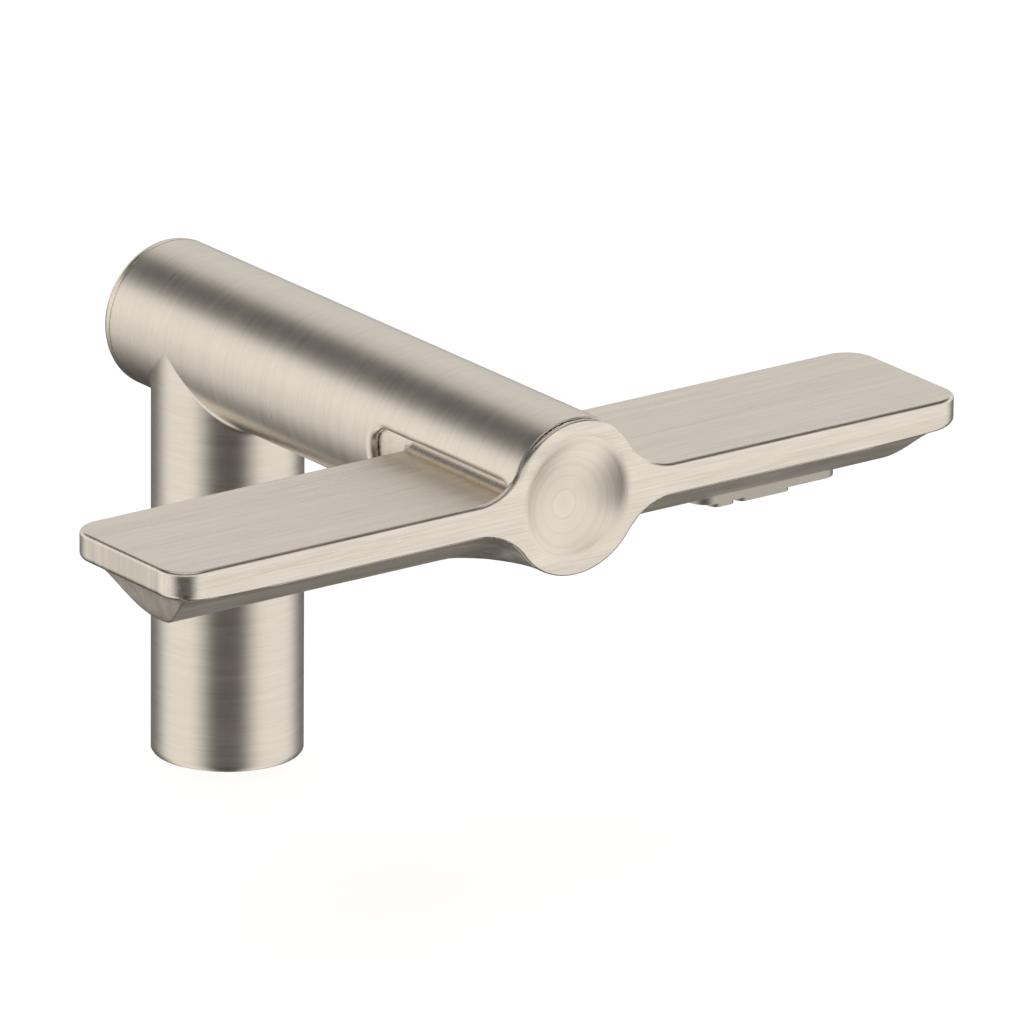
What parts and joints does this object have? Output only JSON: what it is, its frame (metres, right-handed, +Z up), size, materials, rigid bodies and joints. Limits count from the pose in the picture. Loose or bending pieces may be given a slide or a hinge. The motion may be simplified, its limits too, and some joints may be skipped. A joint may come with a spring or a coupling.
{
  "type": "touchless faucet with hand dryer",
  "caption": "Deck-mounted touchless faucet: round stem, forward barrel, and a round hub with two flat wings that blow air to dry hands.",
  "frame": {"origin": "centre of the stem's foot, on the deck plane", "axes": "+Z up along the stem, +X along the wings to the right as seen from the user, -Y towards the user along the barrel"},
  "size_m": [0.298, 0.218, 0.159],
  "materials": {
    "nickel": "brushed nickel, fine satin grain",
    "steel": "turned steel",
    "plunger_steel": "ground magnetic steel",
    "brass": "machined",
    "copper": "drawn copper tube",
    "winding": "enamelled wire",
    "dark_plastic": "moulded, fine grain",
    "pale_plastic": "moulded",
    "rubber": "matt",
    "sensor_window": "dark infrared window",
    "board": "green board with solder mask"
  },
  "bodies": {
    "faucet": {"stem_tube": "nickel", "barrel_tube": "nickel", "rear_cap": "nickel", "front_casting": "nickel", "hub_gasket": "rubber", "head_grub_screws": "steel", "left_keel": "nickel", "right_keel": "nickel", "left_air_outlet": "dark_plastic", "right_air_outlet": "nickel", "hand_sensor_bezels": "nickel", "hand_sensor_lenses": "sensor_window", "hand_sensor_board": "board", "water_sensor_lens": "sensor_window", "water_sensor_board": "board", "aerator_shell": "nickel", "aerator_screen": "pale_plastic", "aerator_washer": "rubber", "outlet_block": "brass", "water_pipe": "copper", "pipe_orings": "rubber", "air_duct": "pale_plastic", "air_manifold": "dark_plastic", "barrel_spacers": "pale_plastic", "stem_spacer": "pale_plastic", "base_ring": "steel", "base_gasket": "rubber", "air_inlet_collar": "dark_plastic", "air_oring": "rubber", "inlet_fitting": "brass", "inlet_filter": "pale_plastic", "check_spring": "steel", "check_guide": "pale_plastic", "valve_body": "brass", "valve_guide_tube": "steel", "valve_coil": "winding", "coil_yoke": "steel", "valve_spring": "steel", "sensor_cable": "rubber", "cable_grommet": "rubber"},
    "plunger": {"valve_plunger": "plunger_steel", "valve_seal": "rubber"},
    "poppet": {"check_poppet": "pale_plastic"}
  },
  "joints": [
    {"name": "plunger_lift", "type": "slide", "parent": "faucet", "child": "plunger", "axis": [0, 0, 1], "range_m": [0, 0.0016], "stiffness_N_per_m": 300, "springref_m": -0.004, "deforming": ["valve_spring"]},
    {"name": "poppet_lift", "type": "slide", "parent": "faucet", "child": "poppet", "axis": [0, 0, 1], "range_m": [0, 0.002], "stiffness_N_per_m": 100, "springref_m": -0.003, "deforming": ["check_spring"]}
  ]
}
